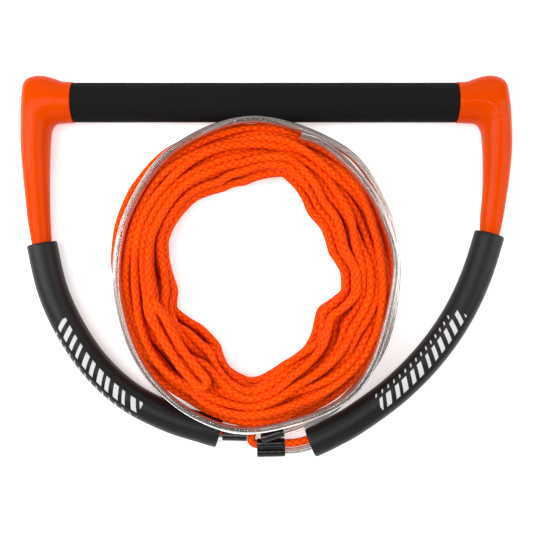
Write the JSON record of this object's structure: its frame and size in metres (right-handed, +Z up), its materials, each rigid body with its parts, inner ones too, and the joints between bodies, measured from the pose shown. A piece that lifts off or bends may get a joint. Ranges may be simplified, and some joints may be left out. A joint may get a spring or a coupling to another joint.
{
  "type": "tow rope handle",
  "caption": "Water sports tow rope handle: foam-covered bar, moulded elbow caps, curved foam floats over a rope bridle, and the mainline coiled inside a clear tube hoop.",
  "frame": {"origin": "centre of the handle's bounding box at the surface it lies on, measured without the coil and what is on it", "axes": "+X along the grip bar, +Y from the bridle's splice towards the grip, +Z up out of the surface it lies on"},
  "size_m": [0.3805, 0.2972, 0.044],
  "materials": {
    "bar_tube": "drawn tube, satin",
    "grip_foam": "fine-grained foam rubber, matt",
    "plug_foam": "closed-cell foam, matt",
    "moulded_cap": "injection-moulded, glossy orange",
    "rope": "braided orange rope",
    "washer": "stamped stainless steel",
    "float_foam": "closed-cell foam skin, matt charcoal with white print",
    "clear_vinyl": "clear extruded vinyl tube",
    "shrink_sleeve": "heat-shrunk black sleeve, slight gloss"
  },
  "bodies": {
    "handle": {"bar_tube": "bar_tube", "grip_foam": "grip_foam", "bar_plug_left": "plug_foam", "bar_plug_right": "plug_foam", "end_cap_left": "moulded_cap", "end_cap_right": "moulded_cap", "stopper_knot_left": "rope", "stopper_knot_right": "rope", "rope_washer_left": "washer", "rope_washer_right": "washer", "bridle_rope_left": "rope", "bridle_rope_right": "rope", "stiffener_tube_left": "clear_vinyl", "stiffener_tube_right": "clear_vinyl", "bridle_sleeve_left": "shrink_sleeve", "bridle_sleeve_right": "shrink_sleeve", "splice_loop": "rope", "mainline_coil": "rope", "boat_end_loop": "rope", "coil_ring_tube": "clear_vinyl", "ring_sleeve": "shrink_sleeve"},
    "left_float": {"float_left": "float_foam"},
    "right_float": {"float_right": "float_foam"}
  },
  "joints": [
    {"name": "float_left_slide", "type": "hinge", "parent": "handle", "child": "left_float", "pos_m": [-0.0183, 0.0259, 0.0122], "axis": [0, 0, 1], "range_deg": [0, 0.7]},
    {"name": "float_right_slide", "type": "hinge", "parent": "handle", "child": "right_float", "pos_m": [-0.0491, 0.0766, 0.0122], "axis": [0, 0, -1], "range_deg": [0, 3]}
  ]
}
